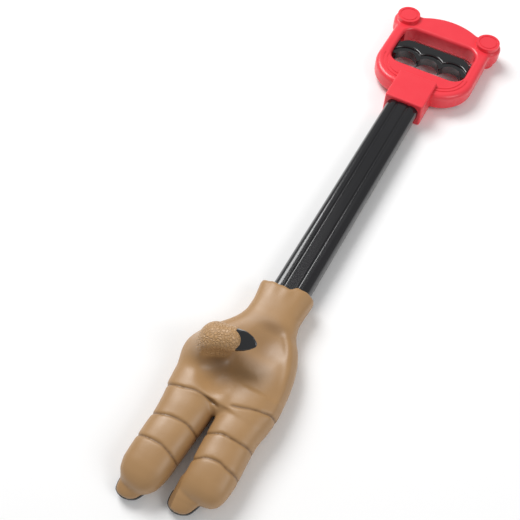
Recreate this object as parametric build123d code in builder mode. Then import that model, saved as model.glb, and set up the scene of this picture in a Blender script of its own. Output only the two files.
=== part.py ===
from build123d import *
from math import atan2, cos, degrees, radians, sin, tan
import os

# Toy reacher grabber.  Millimetres, +Z up.
# The grabber lies on its back: fingers towards -Y, D handle towards +Y, palm up, thumb on the -X side.
# The origin is the middle of the flat face on the back of the handle's collar.

os.makedirs("parts", exist_ok=True)

# ------------------------------------------------------------------ driving sizes: tube
tube_width = 30.0
tube_depth = 17.0
tube_corner = 6.5
tube_wall = 1.6
tube_length = 270.0
tube_seat = 22.0            # how far the tube stands inside the collar
groove_offset = 5.2         # the two grooves on each broad face, from its middle
groove_radius = 1.4
groove_depth = 0.8

# ------------------------------------------------------------------ driving sizes: handle
collar_width = 37.0
collar_height = 24.0
collar_length = 36.0
collar_mouth_y = -14.0
shell_wall = 2.6
frame_width = 96.0
frame_height = 17.0
frame_start_y = 8.0         # the frame's edge on the tube side
shoulder_radius = 32.0
opening_width = 74.0
opening_start_y = 35.0
opening_length = 49.0
opening_corner = 12.0
bar_depth = 20.0            # the palm bar, before its crest
crest_height = 8.0
crest_half_width = 29.0
ear_radius = 13.5
ear_offset = 41.0
frame_edge_round = 4.5
opening_edge_round = 3.0
rib_count = 17
rib_pitch = 3.1
rib_gap = 1.1
rib_groove_depth = 0.8

# ------------------------------------------------------------------ driving sizes: fasteners
screw_radius = 1.25
screw_head_radius = 2.6
screw_head_height = 1.8
screw_recess = 0.8          # how far a head sits below the surface round it
boss_radius = 3.8
collar_screw_offset = 8.2
collar_screw_y = -8.0
shoulder_screw_offset = 39.0
shoulder_screw_y = 26.0
cross_drive = 0.7           # width of the cross slots in the heads

# ------------------------------------------------------------------ driving sizes: trigger train
trigger_travel = 11.0
trigger_gap = 0.5           # between the trigger and the sides of the opening
squeezed_gap = 3.0          # left behind the squeezed trigger
spine_height = 11.5
spine_depth = 9.0
grip_height = 8.0
grip_depth = 13.5
scallop_pitch = 22.4
cusp_flat = 1.2
scallop_depth = 8.0
tongue_depth = 14.0
tongue_root = 3.0
tongue_height = 8.0
tongue_reach = 7.0
tongue_inset = 4.0
slot_clearance = 0.4
wire_radius = 0.7
wire_hole_radius = 1.1
anchor_radius = 2.4
anchor_height = 8.0
spring_radius = 2.7
spring_wire = 0.45
spring_turns = 9

# ------------------------------------------------------------------ driving sizes: hand
cuff_overlap = 26.0         # how far the glove's cuff reaches back over the tube
palm_length = 82.0          # tube end to knuckle axle
finger_length = 69.0        # knuckle axle to fingertip
finger_width = 38.0
finger_gap = 4.0            # between the two fingers
hand_thickness = 28.0
skin_wall = 2.6
knuckle_z = 9.5
finger_swing = 55.0         # degrees, over the whole trigger travel
axle_radius = 2.0
barrel_radius = 4.6
running_gap = 0.08          # radial, on every turning axle
side_gap = 0.5              # along an axle, between neighbours
drive_pin_radius = 1.5
drive_pin_gap = 0.35        # each side of a drive pin in its slot
thumb_axle_y_step = 32.0    # from the knuckle axle back to the thumb's axle
thumb_axle_z = 25.0
thumb_crank = 16.0
thumb_x = -29.0
thumb_radius = 12.0
thumb_tip_radius = 9.5
thumb_knuckle_step = 7.0    # from the thumb's axle to its knuckle, across the palm
thumb_knuckle_back = 3.0    # and towards the cuff
thumb_knuckle_z = 41.0
thumb_reach = 13.0          # from the thumb's knuckle to its tip, across the palm
thumb_rise = 5.5
claw_length = 17.0
fit_gap = 0.2               # between pieces of one body that slip together

# ------------------------------------------------------------------ smaller sizes of the handle
collar_corner = 2.0
collar_edge_round = 1.5
ear_disc_radius = 11.0
ear_disc_height = (collar_height - frame_height) / 2
ear_ring_radii = (5.5, 8.2)
ear_ring_width = 0.8
ear_ring_depth = 0.5
shoulder_groove_insets = (7.0, 10.5)
shoulder_groove_width = 1.0
shoulder_groove_depth = 0.5
collar_step_places = (-0.5, 3.0)
collar_step_width = 1.0
collar_step_depth = 0.6
screw_bite = 8.0            # how far a screw goes into the front shell, past the parting plane
grip_step = 4.5             # from a scallop up to the raised spine
spine_round = 1.5

# ------------------------------------------------------------------ smaller sizes of the hand
wire_grip = 8.0
arm_width = 4.0
arm_places = (-30.0, -10.0, 10.0, 30.0)
arm_end_radius = 3.2
pin_grip = 6.0
carriage_half_width = 18.0
carriage_yoke_depth = 9.0
carriage_boss = 8.0
carriage_thickness = 4.4
carriage_gap = 0.4          # between the carriage and the base under it
keel_width = 4.0
keel_height = 2.0
keel_gap = 0.4
base_bottom_z = 3.8
base_half_width = 31.0
base_neck_half_width = 11.5
flange_half_width = 13.5
flange_depth = 4.0
plug_length = 18.0
tube_pin_radius = 1.5
tube_pin_places = (0.0, 8.5)
cover_gap = 0.4
cover_thickness = 2.4
cover_bottom_z = 15.8
cover_post_radius = 3.5
cover_post_places = (-23.5, 23.5)
cover_screw_radius = 1.1
cover_screw_bite = 7.0
cover_screw_head = 1.4
knuckle_ear_width = 3.4
knuckle_ear_places = (-30.0, 0.0, 30.0)
thumb_ear_x = -36.4
thumb_ear_width = 3.4
thumb_ear_radius = 4.0
thumb_barrel_width = 7.0
thumb_crank_width = 5.0
thumb_window = 8.4
thumb_window_reach = 10.5
thumb_stem_radius = 5.5
thumb_stem_lift = 8.0
thumb_foot_gap = 0.5         # between the stem's square foot and the skin
thumb_lean = 3.5            # and towards the cuff
thumb_lift = 0.6
axle_head = 1.2
crank_end_radius = 3.6
crank_width = 6.0
core_width = 13.0
core_height = 8.4
core_bottom_z = 5.6
tongue_length = 52.0
crease_gap = 2.5
claw_root = 7.0
claw_offset = -6.0
claw_z = 9.0
cuff_middle_z = 12.8
dish_x = 4.0
dish_radius = 70.0
dish_bottom_z = 22.4

# ------------------------------------------------------------------ places worked out from the sizes
tube_axis_z = collar_height / 2
tube_top_y = collar_mouth_y + tube_seat
tube_end_y = tube_top_y - tube_length
frame_bottom_z = tube_axis_z - frame_height / 2
frame_top_z = tube_axis_z + frame_height / 2
opening_end_y = opening_start_y + opening_length
bar_end_y = opening_end_y + bar_depth
ear_y = bar_end_y - ear_radius + 5.0
trigger_back_y = opening_end_y - trigger_travel - squeezed_gap
trigger_front_y = trigger_back_y - spine_depth - grip_depth
scallop_half_width = (scallop_pitch - cusp_flat) / 2
scallop_radius = (scallop_half_width ** 2 + scallop_depth ** 2) / (2 * scallop_depth)
scallop_centre_y = trigger_front_y + scallop_depth - scallop_radius
wire_x = -scallop_pitch / 2
anchor_y = trigger_front_y + 14.0
knuckle_y = tube_end_y - palm_length
half_swing = radians(finger_swing / 2)
crank = trigger_travel / 2 / tan(half_swing)
drive_y = knuckle_y - trigger_travel / 2
drive_z = knuckle_z + crank
thumb_axle_y = knuckle_y + thumb_axle_y_step
thumb_half_swing = atan2(trigger_travel / 2, thumb_crank)
thumb_drive_y = thumb_axle_y - trigger_travel / 2
thumb_drive_z = thumb_axle_z - thumb_crank
finger_x = (finger_width + finger_gap) / 2
fingertip_y = knuckle_y - finger_length
tongue_y = trigger_front_y + tongue_inset + tongue_depth / 2
carriage_bottom_z = thumb_drive_z - carriage_thickness / 2
carriage_top_z = thumb_drive_z + carriage_thickness / 2
carriage_front_y = knuckle_y + 10.0
carriage_back_y = knuckle_y + 54.0
base_top_z = carriage_bottom_z - carriage_gap
spring_start_y = tube_end_y - flange_depth
tube_pin_y = tube_end_y + plug_length / 2
cover_y = thumb_axle_y + 17.0
barrel_inner_x = finger_gap / 2 + skin_wall + side_gap
barrel_outer_x = knuckle_ear_places[-1] - knuckle_ear_width / 2 - side_gap
dish_y = thumb_axle_y + 8.0
thumb_bevel_z = (hand_thickness + thumb_lift - thumb_axle_z) / cos(2 * thumb_half_swing)


def across(y, x=0.0, z=tube_axis_z):
    """Plane square to the tube: its x is +X, its y is +Z, and it faces the hand."""
    return Plane(origin=(x, y, z), x_dir=(1, 0, 0), z_dir=(0, -1, 0))


def side(x):
    """Plane seen from the side: its x is +Y, its y is +Z, and it faces +X."""
    return Plane(origin=(x, 0, 0), x_dir=(0, 1, 0), z_dir=(1, 0, 0))


def write(builder, name):
    """Label a finished piece and write it as one file."""
    builder.part.label = name
    export_step(builder.part, f"parts/{name}.step")


# ================================================================== tube
def tube_outline(plane, grow=0.0):
    """Outside of the fluted tube, grown by a clearance."""
    with BuildSketch(plane) as outline:
        RectangleRounded(tube_width + 2 * grow, tube_depth + 2 * grow, tube_corner + grow)
        rise = tube_depth / 2 + groove_radius - groove_depth + grow
        with GridLocations(2 * groove_offset, 2 * rise, 2, 2):
            Circle(groove_radius, mode=Mode.SUBTRACT)
    return outline.sketch


def tube_bore(plane, shrink=0.0):
    """Inside of the tube, shrunk by a clearance."""
    with BuildSketch(plane) as outline:
        RectangleRounded(
            tube_width - 2 * tube_wall - 2 * shrink,
            tube_depth - 2 * tube_wall - 2 * shrink,
            tube_corner - tube_wall - shrink,
        )
    return outline.sketch


collar_screw_places = [(x, collar_screw_y) for x in (-collar_screw_offset, collar_screw_offset)]

with BuildPart() as tube:
    extrude(tube_outline(across(tube_top_y)), amount=tube_length)
    extrude(tube_bore(across(tube_top_y)), amount=tube_length, mode=Mode.SUBTRACT)
    for x, y in collar_screw_places:
        with Locations((x, y, tube_axis_z)):
            Cylinder(screw_radius + fit_gap, tube_depth * 2, mode=Mode.SUBTRACT)
    for x in tube_pin_places:
        with Locations((x, tube_pin_y, tube_axis_z)):
            Cylinder(tube_pin_radius, tube_depth * 2, mode=Mode.SUBTRACT)
write(tube, "tube")


# ================================================================== handle shells
def frame_outline():
    """Plan of the D frame with its ears and crest, hollows between them rounded."""
    with BuildSketch() as outline:
        with Locations((0, (frame_start_y + bar_end_y) / 2)):
            Rectangle(frame_width, bar_end_y - frame_start_y)
        fillet(outline.vertices().group_by(Axis.Y)[0], shoulder_radius)
        with BuildLine():
            crest = ThreePointArc(
                (-crest_half_width, bar_end_y),
                (0, bar_end_y + crest_height),
                (crest_half_width, bar_end_y),
            )
            Line(crest @ 1, crest @ 0)
        make_face()
        with Locations((-ear_offset, ear_y), (ear_offset, ear_y)):
            Circle(ear_radius)
        offset(amount=5.0, kind=Kind.ARC)
        offset(amount=-5.0, kind=Kind.ARC)
    return outline.sketch


def opening_outline(grow=0.0):
    """Plan of the hand opening, grown by the wall round it."""
    with BuildSketch() as outline:
        with Locations((0, opening_start_y + opening_length / 2)):
            RectangleRounded(
                opening_width + 2 * grow,
                opening_length + 2 * grow,
                opening_corner + grow,
            )
    return outline.sketch


def frame_hollow():
    """Plan of the space inside the frame's walls."""
    with BuildSketch() as outline:
        add(frame_outline())
        offset(amount=-shell_wall, kind=Kind.ARC)
        add(opening_outline(shell_wall), mode=Mode.SUBTRACT)
        with Locations((0, tube_top_y + shell_wall - 50)):
            Rectangle(frame_width, 100, mode=Mode.SUBTRACT)
    return outline.sketch


ear_places = [(-ear_offset, ear_y), (ear_offset, ear_y)]
shoulder_places = [(x, shoulder_screw_y) for x in (-shoulder_screw_offset, shoulder_screw_offset)]
frame_screw_places = shoulder_places + ear_places
slot_start_y = trigger_front_y + tongue_inset - slot_clearance
slot_end_y = slot_start_y + tongue_depth + trigger_travel + 2 * slot_clearance
slot_height = tongue_height + 2 * slot_clearance
screw_seat_z = {place: frame_bottom_z + screw_recess + screw_head_height for place in shoulder_places}
for place in ear_places + collar_screw_places:
    screw_seat_z[place] = screw_recess + screw_head_height
inner_wall_x = (opening_width + shell_wall) / 2


def cut_passages():
    """Cut what both shells share: the tube's seat, the trigger's slots and the wire's way."""
    seat = tube_outline(across(tube_top_y + fit_gap), fit_gap)
    extrude(seat, amount=tube_seat * 2, mode=Mode.SUBTRACT)
    with Locations((-inner_wall_x, (slot_start_y + slot_end_y) / 2, tube_axis_z)):
        Box(shell_wall * 2, slot_end_y - slot_start_y, slot_height, mode=Mode.SUBTRACT)
    with Locations((inner_wall_x, (slot_start_y + slot_end_y) / 2, tube_axis_z)):
        Box(shell_wall * 2, slot_end_y - slot_start_y, slot_height, mode=Mode.SUBTRACT)
    with Locations(across(opening_start_y + 1, wire_x)):
        Cylinder(
            wire_hole_radius,
            opening_start_y + 2 - tube_top_y,
            align=(Align.CENTER, Align.CENTER, Align.MIN),
            mode=Mode.SUBTRACT,
        )


def half_handle(way):
    """Half of the handle, from the parting plane outwards: way is +1 for the front, -1 for the back."""
    outwards = Axis((0, 0, 0), (0, 0, way))
    parting = Plane.XY.offset(tube_axis_z)
    inward = (Align.CENTER, Align.CENTER, Align.MIN if way > 0 else Align.MAX)
    with BuildPart() as half:
        with BuildSketch(parting):
            add(frame_outline())
        extrude(amount=way * frame_height / 2)
        fillet(half.faces().sort_by(outwards)[-1].outer_wire().edges(), frame_edge_round)
        with BuildSketch(parting):
            add(opening_outline())
        extrude(amount=way * frame_height, mode=Mode.SUBTRACT)
        fillet(half.faces().sort_by(outwards)[-1].inner_wires().edges(), opening_edge_round)
        with BuildSketch(parting):
            with Locations((0, collar_mouth_y + collar_length / 2)):
                RectangleRounded(collar_width, collar_length, collar_corner)
        extrude(amount=way * collar_height / 2)
        fillet(half.faces().sort_by(outwards)[-1].edges(), collar_edge_round)
        with BuildSketch(parting.offset(way * frame_height / 2)):
            with Locations(*ear_places):
                Circle(ear_disc_radius)
        extrude(amount=way * ear_disc_height)
        with BuildSketch(parting.offset(way * (frame_height / 2 + ear_disc_height))):
            for radius in ear_ring_radii:
                with Locations(*ear_places):
                    Circle(radius + ear_ring_width / 2)
                    Circle(radius - ear_ring_width / 2, mode=Mode.SUBTRACT)
        extrude(amount=-way * ear_ring_depth, mode=Mode.SUBTRACT)
        with BuildSketch(parting):
            add(frame_hollow())
        extrude(amount=way * (frame_height / 2 - shell_wall), mode=Mode.SUBTRACT)
        for x, y in frame_screw_places:
            with Locations((x, y, tube_axis_z)):
                Cylinder(boss_radius, frame_height / 2 - 1, align=inward)
        cut_passages()
    return half.part


def shoulder_grooves(plane):
    """Two shallow arcs that follow each rounded shoulder of the frame."""
    centre_x = frame_width / 2 - shoulder_radius
    centre_y = frame_start_y + shoulder_radius
    with BuildSketch(plane) as arcs:
        for inset in shoulder_groove_insets:
            radius = shoulder_radius - inset
            with Locations((-centre_x, centre_y), (centre_x, centre_y)):
                Circle(radius + shoulder_groove_width / 2)
                Circle(radius - shoulder_groove_width / 2, mode=Mode.SUBTRACT)
        with Locations((0, centre_y + frame_width)):
            Rectangle(2 * frame_width, 2 * frame_width, mode=Mode.SUBTRACT)
        with Locations((0, centre_y)):
            Rectangle(2 * centre_x, 2 * frame_width, mode=Mode.SUBTRACT)
    return arcs.sketch


with BuildPart() as handle_front:
    add(half_handle(+1))
    extrude(shoulder_grooves(Plane.XY.offset(frame_top_z)), amount=-shoulder_groove_depth, mode=Mode.SUBTRACT)
    for x, y in frame_screw_places + collar_screw_places:
        with Locations((x, y, tube_axis_z)):
            Cylinder(
                screw_radius,
                screw_bite,
                align=(Align.CENTER, Align.CENTER, Align.MIN),
                mode=Mode.SUBTRACT,
            )
write(handle_front, "handle_front_shell")

with BuildPart() as handle_back:
    add(half_handle(-1))
    for x, y in frame_screw_places + collar_screw_places:
        with Locations((x, y, 0)):
            Cylinder(screw_radius + fit_gap, tube_axis_z * 3, mode=Mode.SUBTRACT)
            Cylinder(
                screw_head_radius + fit_gap,
                screw_seat_z[(x, y)],
                align=(Align.CENTER, Align.CENTER, Align.MIN),
                mode=Mode.SUBTRACT,
            )
    rib_row_y = (opening_end_y + bar_end_y) / 2 + 1.0
    with Locations((0, rib_row_y, frame_bottom_z)):
        with GridLocations(rib_pitch, 0, rib_count - 1, 1):
            Box(rib_gap, bar_depth - 3.0, rib_groove_depth * 2, mode=Mode.SUBTRACT)
    for y in collar_step_places:
        with Locations((0, y, 0)):
            Box(collar_width - 4.0, collar_step_width, collar_step_depth * 2, mode=Mode.SUBTRACT)
write(handle_back, "handle_back_shell")

with BuildPart() as handle_screws:
    for x, y in frame_screw_places + collar_screw_places:
        head_z = screw_seat_z[(x, y)]
        with Locations((x, y, head_z)):
            Cylinder(
                screw_radius,
                tube_axis_z + screw_bite - head_z,
                align=(Align.CENTER, Align.CENTER, Align.MIN),
            )
            Cylinder(
                screw_head_radius,
                screw_head_height,
                align=(Align.CENTER, Align.CENTER, Align.MAX),
            )
        with Locations((x, y, head_z - screw_head_height)):
            Box(cross_drive, screw_head_radius * 1.3, screw_head_height, mode=Mode.SUBTRACT)
            Box(screw_head_radius * 1.3, cross_drive, screw_head_height, mode=Mode.SUBTRACT)
write(handle_screws, "handle_screws")


# ================================================================== trigger train
trigger_half_width = opening_width / 2 - trigger_gap
scallop_places = [(x, scallop_centre_y) for x in (-scallop_pitch, 0, scallop_pitch)]

def trigger_plate(height, radius):
    """A layer of the trigger: its back corners clear the opening's, and three finger scallops are cut out."""
    with BuildSketch(Plane.XY.offset(tube_axis_z - height / 2)) as profile:
        with Locations((0, (trigger_front_y + trigger_back_y) / 2)):
            Rectangle(2 * trigger_half_width, trigger_back_y - trigger_front_y)
        fillet(profile.vertices().group_by(Axis.Y)[-1], opening_corner)
        with Locations(*scallop_places):
            Circle(radius, mode=Mode.SUBTRACT)
    extrude(profile.sketch, amount=height)


with BuildPart() as trigger:
    trigger_plate(grip_height, scallop_radius)
    trigger_plate(spine_height, scallop_radius + grip_step)
    rims = trigger.edges().filter_by_position(
        Axis.Y, trigger_back_y - opening_corner - 0.1, trigger_back_y + 0.1
    )
    outer_rims = rims.filter_by(Axis.Z, reverse=True).group_by(Axis.Z)
    fillet(outer_rims[0] + outer_rims[-1], spine_round)
    for way in (-1, 1):
        tongue_x = way * (trigger_half_width + (tongue_reach - tongue_root) / 2)
        with Locations((tongue_x, tongue_y, tube_axis_z)):
            Box(tongue_reach + tongue_root, tongue_depth, tongue_height)
    with Locations((wire_x, anchor_y, tube_axis_z + anchor_height / 2 + fit_gap)):
        Cylinder(
            anchor_radius + fit_gap,
            spine_height,
            align=(Align.CENTER, Align.CENTER, Align.MAX),
            mode=Mode.SUBTRACT,
        )
    with Locations(across(anchor_y, wire_x)):
        Cylinder(
            wire_hole_radius,
            grip_depth + spine_depth,
            align=(Align.CENTER, Align.CENTER, Align.MIN),
            mode=Mode.SUBTRACT,
        )
write(trigger, "trigger")

with BuildPart() as wire_anchor:
    with Locations((wire_x, anchor_y, tube_axis_z)):
        Cylinder(anchor_radius, anchor_height)
    with Locations(across(anchor_y, wire_x)):
        Cylinder(
            wire_radius,
            anchor_radius * 2,
            align=(Align.CENTER, Align.CENTER, Align.MIN),
            mode=Mode.SUBTRACT,
        )
write(wire_anchor, "wire_anchor")

wire_end_y = carriage_back_y - wire_grip
with BuildPart() as pull_wire:
    with Locations(across(anchor_y, wire_x)):
        Cylinder(
            wire_radius,
            anchor_y - wire_end_y,
            align=(Align.CENTER, Align.CENTER, Align.MIN),
        )
write(pull_wire, "pull_wire")


def pull_arm(x):
    """One of the carriage's arms, which reaches over the knuckle axle to the drive pin."""
    with BuildSketch(side(x - arm_width / 2)) as profile:
        with BuildLine():
            Polyline(
                (carriage_front_y + carriage_yoke_depth, carriage_bottom_z),
                (carriage_front_y, carriage_bottom_z),
                (knuckle_y + 6.5, knuckle_z + barrel_radius + 1.4),
                (drive_y, drive_z - arm_end_radius),
                (drive_y, drive_z + arm_end_radius),
                (knuckle_y + 9.0, drive_z),
                (carriage_front_y + carriage_yoke_depth, carriage_top_z),
                close=True,
            )
        make_face()
        with Locations((drive_y, drive_z)):
            Circle(arm_end_radius)
            Circle(drive_pin_radius, mode=Mode.SUBTRACT)
    extrude(profile.sketch, amount=arm_width)


with BuildPart() as carriage:
    with BuildSketch(Plane.XY.offset(carriage_bottom_z)):
        with Locations((0, (carriage_back_y + carriage_front_y) / 2)):
            Rectangle(2 * carriage_half_width, carriage_back_y - carriage_front_y)
        with Locations((0, carriage_front_y + carriage_yoke_depth / 2)):
            Rectangle(2 * (arm_places[-1] + arm_width / 2), carriage_yoke_depth)
    extrude(amount=carriage_top_z - carriage_bottom_z)
    with BuildSketch(Plane.XY.offset(carriage_bottom_z)):
        boss_y = carriage_back_y - carriage_boss / 2
        with Locations((wire_x, boss_y), (-wire_x, boss_y)):
            Rectangle(carriage_boss, carriage_boss)
    extrude(amount=cover_bottom_z - cover_gap - carriage_bottom_z)
    for x in arm_places:
        pull_arm(x)
    with Locations(across(carriage_back_y, wire_x)):
        Cylinder(
            wire_radius,
            wire_grip,
            align=(Align.CENTER, Align.CENTER, Align.MIN),
            mode=Mode.SUBTRACT,
        )
    with Locations(side(-carriage_half_width)):
        with Locations((thumb_drive_y, thumb_drive_z)):
            Cylinder(
                drive_pin_radius,
                pin_grip,
                align=(Align.CENTER, Align.CENTER, Align.MIN),
                mode=Mode.SUBTRACT,
            )
    keel_slot_depth = keel_height - carriage_gap + keel_gap
    with Locations((0, (carriage_back_y + carriage_front_y) / 2, carriage_bottom_z)):
        Box(keel_width + 2 * keel_gap, 200, 2 * keel_slot_depth, mode=Mode.SUBTRACT)
write(carriage, "carriage")

with BuildPart() as finger_drive_pin:
    half_length = arm_places[-1] + arm_width / 2
    with Locations((0, drive_y, drive_z)):
        Cylinder(drive_pin_radius, 2 * half_length, rotation=(0, 90, 0))
write(finger_drive_pin, "finger_drive_pin")

with BuildPart() as thumb_drive_pin:
    with Locations(side(thumb_x - thumb_barrel_width / 2)):
        with Locations((thumb_drive_y, thumb_drive_z)):
            Cylinder(
                drive_pin_radius,
                pin_grip - carriage_half_width - thumb_x + thumb_barrel_width / 2,
                align=(Align.CENTER, Align.CENTER, Align.MIN),
            )
write(thumb_drive_pin, "thumb_drive_pin")

with BuildPart() as return_spring:
    with BuildLine():
        coil = Helix(
            pitch=(spring_start_y - carriage_back_y - 2 * spring_wire) / spring_turns,
            height=spring_start_y - carriage_back_y - 2 * spring_wire,
            radius=spring_radius,
            center=(wire_x, spring_start_y - spring_wire, tube_axis_z),
            direction=(0, -1, 0),
        )
    with BuildSketch(Plane(origin=coil @ 0, z_dir=coil % 0)):
        Circle(spring_wire)
    sweep(path=coil)
write(return_spring, "return_spring")


# ================================================================== hand skeleton
with BuildPart() as palm_skeleton:
    with BuildSketch(Plane.XY.offset(base_bottom_z)):
        with BuildLine():
            Polyline(
                (-base_neck_half_width, tube_end_y),
                (base_neck_half_width, tube_end_y),
                (base_neck_half_width, tube_end_y - 12.0),
                (base_half_width, thumb_axle_y + 4.0),
                (base_half_width, knuckle_y + 8.0),
                (-base_half_width, knuckle_y + 8.0),
                (-base_half_width, thumb_axle_y - 16.0),
                (thumb_ear_x, thumb_axle_y - 12.5),
                (thumb_ear_x, thumb_axle_y + 9.0),
                (-base_half_width, thumb_axle_y + 14.0),
                (-base_neck_half_width, tube_end_y - 12.0),
                close=True,
            )
        make_face()
        with Locations((thumb_ear_x + thumb_ear_width + thumb_window / 2, thumb_axle_y)):
            Rectangle(thumb_window, 2 * thumb_window_reach, mode=Mode.SUBTRACT)
    extrude(amount=base_top_z - base_bottom_z)
    with Locations((0, (carriage_back_y + knuckle_y + 10) / 2, base_top_z)):
        Box(
            keel_width,
            carriage_back_y - knuckle_y - 10,
            keel_height,
            align=(Align.CENTER, Align.CENTER, Align.MIN),
        )
    # flange against the tube's end, and the plug inside the tube
    with BuildSketch(across(tube_end_y)):
        RectangleRounded(2 * flange_half_width, tube_depth - 0.5, tube_corner)
    extrude(amount=flange_depth)
    extrude(tube_bore(across(tube_end_y), fit_gap), amount=-plug_length)
    with Locations(across(tube_end_y + plug_length, wire_x)):
        Cylinder(
            wire_hole_radius,
            plug_length + flange_depth,
            align=(Align.CENTER, Align.CENTER, Align.MIN),
            mode=Mode.SUBTRACT,
        )
    for x in tube_pin_places:
        with Locations((x, tube_pin_y, tube_axis_z)):
            Cylinder(tube_pin_radius, tube_depth * 2, mode=Mode.SUBTRACT)
    # knuckle ears
    for x in knuckle_ear_places:
        with BuildSketch(side(x - knuckle_ear_width / 2)):
            with Locations((knuckle_y, knuckle_z)):
                Circle(barrel_radius)
            with Locations((knuckle_y + 6.0, (base_bottom_z + base_top_z) / 2)):
                Rectangle(4.0, base_top_z - base_bottom_z)
            make_hull()
            with Locations((knuckle_y, knuckle_z)):
                Circle(axle_radius, mode=Mode.SUBTRACT)
        extrude(amount=knuckle_ear_width)
    # thumb ear
    with BuildSketch(side(thumb_ear_x)):
        with Locations((thumb_axle_y, thumb_axle_z)):
            Circle(thumb_ear_radius)
        with Locations((thumb_axle_y, (base_bottom_z + base_top_z) / 2)):
            Rectangle(14.0, base_top_z - base_bottom_z)
        make_hull()
        with Locations((thumb_axle_y, thumb_axle_z)):
            Circle(axle_radius, mode=Mode.SUBTRACT)
    extrude(amount=thumb_ear_width)
    # posts for the carriage's cover
    for x in cover_post_places:
        with Locations((x, cover_y, base_top_z)):
            Cylinder(
                cover_post_radius,
                cover_bottom_z - base_top_z,
                align=(Align.CENTER, Align.CENTER, Align.MIN),
            )
        with Locations((x, cover_y, cover_bottom_z)):
            Cylinder(
                cover_screw_radius,
                cover_screw_bite,
                align=(Align.CENTER, Align.CENTER, Align.MAX),
                mode=Mode.SUBTRACT,
            )
write(palm_skeleton, "palm_skeleton")

with BuildPart() as tube_pins:
    for x in tube_pin_places:
        with Locations((x, tube_pin_y, tube_axis_z)):
            Cylinder(tube_pin_radius, tube_depth)
write(tube_pins, "tube_pins")

with BuildPart() as carriage_cover:
    with BuildSketch(Plane.XY.offset(cover_bottom_z)):
        with Locations((0, cover_y)):
            SlotCenterToCenter(2 * cover_post_places[-1], 2 * cover_post_radius + 2)
        with Locations((cover_post_places[0], cover_y), (cover_post_places[-1], cover_y)):
            Circle(cover_screw_radius + fit_gap, mode=Mode.SUBTRACT)
    extrude(amount=cover_thickness)
write(carriage_cover, "carriage_cover")

with BuildPart() as cover_screws:
    for x in cover_post_places:
        with Locations((x, cover_y, cover_bottom_z - cover_screw_bite)):
            Cylinder(
                cover_screw_radius,
                cover_screw_bite + cover_thickness,
                align=(Align.CENTER, Align.CENTER, Align.MIN),
            )
        with Locations((x, cover_y, cover_bottom_z + cover_thickness)):
            Cylinder(
                cover_screw_radius * 2,
                cover_screw_head,
                align=(Align.CENTER, Align.CENTER, Align.MIN),
            )
write(cover_screws, "cover_screws")

with BuildPart() as knuckle_axle:
    with Locations((0, knuckle_y, knuckle_z)):
        Cylinder(axle_radius, 2 * knuckle_ear_places[-1] + knuckle_ear_width, rotation=(0, 90, 0))
write(knuckle_axle, "knuckle_axle")

with BuildPart() as thumb_axle:
    with Locations(side(thumb_ear_x)):
        with Locations((thumb_axle_y, thumb_axle_z)):
            Cylinder(
                axle_radius,
                thumb_x + thumb_barrel_width / 2 + side_gap - thumb_ear_x,
                align=(Align.CENTER, Align.CENTER, Align.MIN),
            )
    with Locations(side(thumb_x + thumb_barrel_width / 2 + side_gap)):
        with Locations((thumb_axle_y, thumb_axle_z)):
            Cylinder(
                axle_radius * 1.7,
                axle_head,
                align=(Align.CENTER, Align.CENTER, Align.MIN),
            )
write(thumb_axle, "thumb_axle")


# ================================================================== turning cranks
def crank_plate(x, width, axis_y, axis_z, arm, swing, upwards):
    """A crank with a slot for its drive pin, tilted to the start of its swing."""
    furthest = arm / cos(swing)
    tilt_y = -sin(swing)
    tilt_z = cos(swing) * upwards
    nearest = arm - drive_pin_gap
    farthest = furthest + drive_pin_gap
    middle = (nearest + farthest) / 2
    with BuildSketch(side(x - width / 2)) as profile:
        with Locations((axis_y, axis_z)):
            Circle(barrel_radius)
        with Locations((axis_y + tilt_y * furthest, axis_z + tilt_z * furthest)):
            Circle(crank_end_radius)
        make_hull()
        with Locations((axis_y + tilt_y * middle, axis_z + tilt_z * middle)):
            SlotCenterToCenter(
                farthest - nearest,
                2 * (drive_pin_radius + drive_pin_gap),
                rotation=degrees(atan2(tilt_z, tilt_y)),
                mode=Mode.SUBTRACT,
            )
    extrude(profile.sketch, amount=width)


def finger_sections(shrink):
    """Distance from the knuckle, width, height and middle height of a finger, less a wall."""
    width = finger_width - 2 * shrink
    height = hand_thickness - 2 * shrink
    middle = hand_thickness / 2
    return [
        (0.0, width, height, middle),
        (finger_length * 0.50, width, height - 1.0, middle),
        (finger_length * 0.82, width - 3.0, height - 4.0, middle),
    ]


def finger_loft(x, sections, roundness, mode):
    """Loft a finger through its sections."""
    profiles = []
    for step, width, height, middle in sections:
        with BuildSketch(across(knuckle_y - step, x, middle)) as profile:
            RectangleRounded(width, height, height * roundness)
        profiles.append(profile.sketch)
    loft(profiles, mode=mode)


bevel_rise = 40.0


def knuckle_bevel(way):
    """Cut a skin back along the crease at the knuckle: way is +1 for the palm, -1 for a finger."""
    edge_y = knuckle_y + way * crease_gap
    with BuildSketch(side(-frame_width)) as profile:
        with BuildLine():
            Polyline(
                (edge_y, -bevel_rise),
                (edge_y, knuckle_z),
                (edge_y + way * bevel_rise * tan(half_swing), knuckle_z + bevel_rise),
                (edge_y - way * 2 * bevel_rise, knuckle_z + bevel_rise),
                (edge_y - way * 2 * bevel_rise, -bevel_rise),
                close=True,
            )
        make_face()
    extrude(profile.sketch, amount=2 * frame_width, mode=Mode.SUBTRACT)


def claw_loft(x, scale):
    """The tapering claw at a fingertip."""
    profiles = []
    stops = ((-claw_root, 14.0, 11.0), (claw_length * 0.5, 10.0, 8.0), (claw_length, 3.0, 2.4))
    for step, width, height in stops:
        with BuildSketch(across(fingertip_y - step, x, claw_z)) as profile:
            Ellipse(width * scale / 2, height * scale / 2)
        profiles.append(profile.sketch)
    loft(profiles)


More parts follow.
